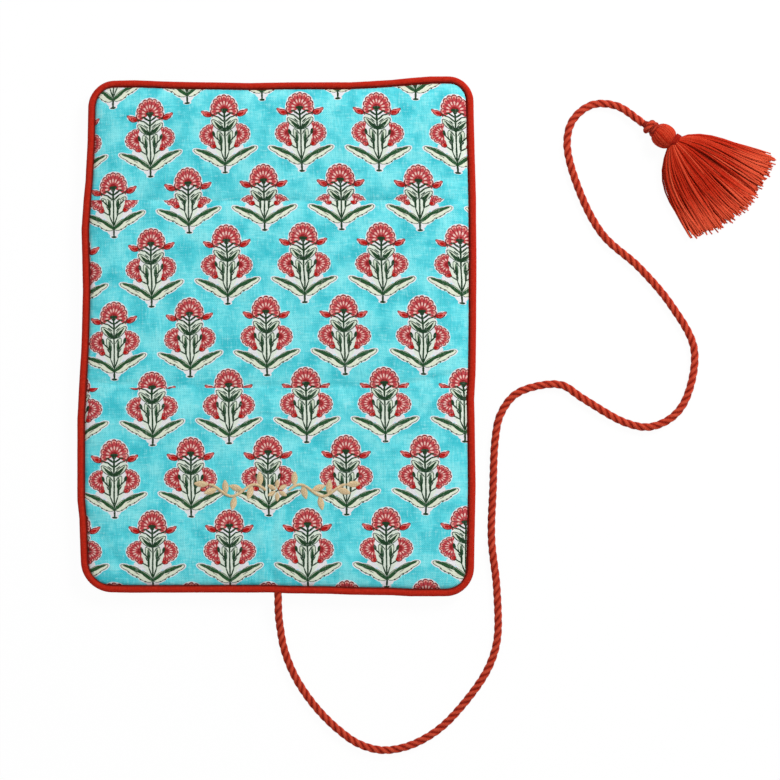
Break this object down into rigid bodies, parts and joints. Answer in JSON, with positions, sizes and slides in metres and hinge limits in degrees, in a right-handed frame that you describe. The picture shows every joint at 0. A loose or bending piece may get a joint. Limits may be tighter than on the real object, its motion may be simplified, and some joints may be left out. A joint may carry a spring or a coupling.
{
  "type": "jewelry roll",
  "caption": "Quilted printed cotton roll that folds in three, with piped edges, zipped pockets, a ring strap, a twisted tie cord and a tassel.",
  "frame": {"origin": "middle of the opened panel, on the surface that it lies on", "axes": "+X to the right across the panel, +Y from the cord's edge to the top flap's edge, +Z out of the printed outer face"},
  "size_m": [0.3732, 0.3619, 0.0127],
  "materials": {
    "printed_cotton": "printed quilting cotton, matt",
    "lining_cotton": "plain cotton, matt",
    "piping_cotton": "bias cotton over cord, matt",
    "wadding": "cotton wadding",
    "filler_cord": "cotton filler cord",
    "zip_tape": "woven polyester tape",
    "zip_teeth": "moulded zip teeth, satin",
    "antique_brass": "satin antique brass",
    "twisted_cord": "three-strand twisted cotton cord",
    "tassel_yarn": "soft cotton yarn"
  },
  "bodies": {
    "front_section": {"front_shell": "printed_cotton", "front_wadding": "wadding", "front_lining": "lining_cotton", "front_piping": "piping_cotton", "front_piping_cord": "filler_cord", "front_pocket_panel": "lining_cotton", "front_pocket_facing": "lining_cotton", "front_zip_tape_near": "zip_tape", "front_zip_tape_far": "zip_tape", "front_zip_row_near": "zip_teeth", "front_zip_row_far": "zip_teeth", "front_zip_stop": "zip_teeth", "tie_cord": "twisted_cord", "cord_knot": "twisted_cord", "tassel_head": "tassel_yarn", "tassel_neck": "tassel_yarn", "tassel_skirt": "tassel_yarn"},
    "middle_section": {"middle_shell": "printed_cotton", "middle_wadding": "wadding", "middle_lining": "lining_cotton", "middle_piping_left": "piping_cotton", "middle_piping_right": "piping_cotton", "middle_piping_cord_left": "filler_cord", "middle_piping_cord_right": "filler_cord", "middle_pocket_panel": "lining_cotton", "middle_pocket_facing": "lining_cotton", "middle_zip_tape_near": "zip_tape", "middle_zip_tape_far": "zip_tape", "middle_zip_row_near": "zip_teeth", "middle_zip_row_far": "zip_teeth", "middle_zip_stop": "zip_teeth"},
    "top_flap": {"top_shell": "printed_cotton", "top_wadding": "wadding", "top_lining": "lining_cotton", "top_piping": "piping_cotton", "top_piping_cord": "filler_cord", "strap_anchor": "lining_cotton", "snap_stud": "antique_brass", "snap_post": "antique_brass"},
    "ring_strap": {"ring_strap": "lining_cotton", "snap_socket": "antique_brass", "snap_cap": "antique_brass"},
    "front_slider": {"front_zip_slider": "antique_brass"},
    "front_pull": {"front_zip_pull": "antique_brass"},
    "middle_slider": {"middle_zip_slider": "antique_brass"},
    "middle_pull": {"middle_zip_pull": "antique_brass"}
  },
  "joints": [
    {"name": "middle_fold", "type": "hinge", "parent": "front_section", "child": "middle_section", "pos_m": [0, -0.0278, -0.0066], "axis": [-1, 0, 0], "range_deg": [0, 180]},
    {"name": "flap_fold", "type": "hinge", "parent": "middle_section", "child": "top_flap", "pos_m": [0, 0.0728, -0.0005], "axis": [-1, 0, 0], "range_deg": [0, 180]},
    {"name": "strap_opening", "type": "hinge", "parent": "top_flap", "child": "ring_strap", "pos_m": [-0.075, 0.10515, 0.0047], "axis": [0, -1, 0], "range_deg": [-150, 0]},
    {"name": "front_slider_travel", "type": "slide", "parent": "front_section", "child": "front_slider", "axis": [1, 0, 0], "range_m": [0, 0.16]},
    {"name": "front_pull_swing", "type": "hinge", "parent": "front_slider", "child": "front_pull", "pos_m": [-0.0812, -0.0482, 0.00125], "axis": [0, 1, 0], "range_deg": [-170, 0]},
    {"name": "middle_slider_travel", "type": "slide", "parent": "middle_section", "child": "middle_slider", "axis": [1, 0, 0], "range_m": [0, 0.16]},
    {"name": "middle_pull_swing", "type": "hinge", "parent": "middle_slider", "child": "middle_pull", "pos_m": [-0.0812, 0.0524, 0.00125], "axis": [0, 1, 0], "range_deg": [-170, 0]}
  ]
}
